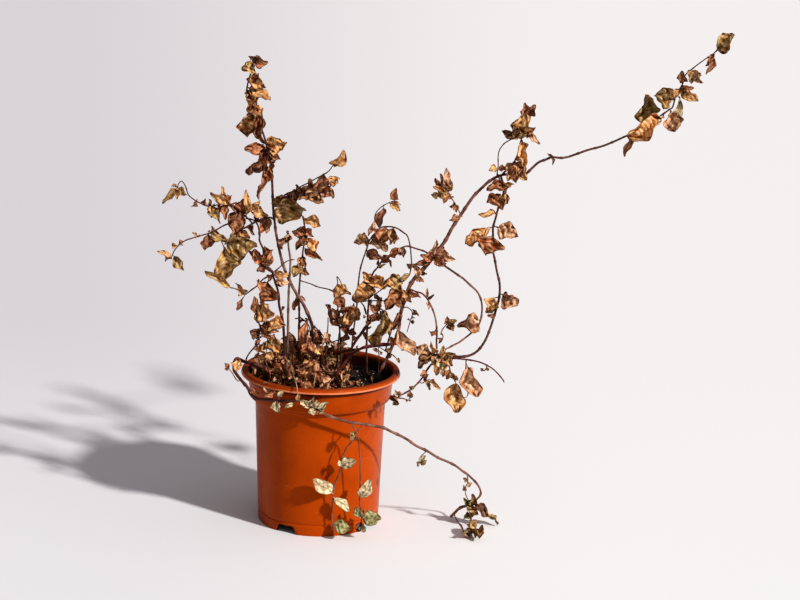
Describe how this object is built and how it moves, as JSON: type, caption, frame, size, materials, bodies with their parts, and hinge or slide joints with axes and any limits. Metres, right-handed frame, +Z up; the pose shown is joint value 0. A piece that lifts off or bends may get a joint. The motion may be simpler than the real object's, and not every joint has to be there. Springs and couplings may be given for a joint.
{
  "type": "potted plant",
  "caption": "Dried-out leggy houseplant with curled brown leaves, leaning and trailing from a round plastic nursery pot.",
  "frame": {"origin": "middle of the whole plant's extent, on the surface that the pot stands on; the pot's axis is at x = -0.0983 m, y = 0.0012 m", "axes": "+Z up along the pot's axis, +X to the right as the picture shows it, where the long stem leans out, -Y towards the viewer"},
  "size_m": [0.4571, 0.1324, 0.4031],
  "materials": {
    "pot": "satin moulded terracotta-orange plastic, scuffed",
    "soil": null,
    "litter": "loose curled dead leaves and twigs, rust and gold",
    "stem": "dry purplish-brown stem, ridged",
    "stem_pale": "dry pinkish or greyish brown stem, ridged",
    "leaf": "crisp dead leaf, gold to rust and maroon, veined",
    "leaf_pale": "bleached dead leaf, cream to pale olive, veined"
  },
  "bodies": {
    "root": {"pot": "pot", "soil": "soil", "leaf_litter": "litter", "stem_centre": "stem_pale", "stem_tall": "stem", "leaf_plume_tip": "leaf", "leaf_plume_bell": "leaf", "leaf_plume_hanging": "leaf", "shoot_inner": "stem", "stem_grey": "stem_pale", "stem_red": "stem", "stem_middle": "stem", "stem_short": "stem", "stem_arched": "stem", "stem_thin_arch": "stem", "leaf_long_hanging": "leaf", "leaf_peach": "leaf", "stem_thick": "stem_pale", "stem_thick_upper": "stem_pale", "stem_right": "stem", "shoot_crown": "stem", "shoot_loop": "stem", "shoot_far": "stem", "leaf_far_gold": "leaf", "leaf_far_dark": "leaf", "leaf_far_hanging": "leaf", "leaf_far_pale": "leaf_pale", "stem_hanging": "stem", "leaf_ring_left": "leaf", "leaf_ring_right": "leaf", "leaf_ring_front": "leaf", "leaf_ring_brown": "leaf", "leaf_ring_outer": "leaf", "stem_arch_right": "stem", "leaf_arch_gold": "leaf", "stem_arch_middle": "stem", "stem_low": "stem_pale", "leaf_curled": "leaf", "leaf_broad": "leaf", "stem_draped": "stem", "stem_whorl": "stem", "leaf_whorl_folded": "leaf", "leaf_whorl_gold": "leaf", "leaf_left_gold": "leaf", "leaf_left_egg": "leaf", "leaf_left_long": "leaf", "shoot_left": "stem", "stem_trailing": "stem", "stem_dangling_left": "stem_pale", "stem_dangling_right": "stem_pale", "twig_over_rim": "stem_pale"}
  },
  "joints": []
}
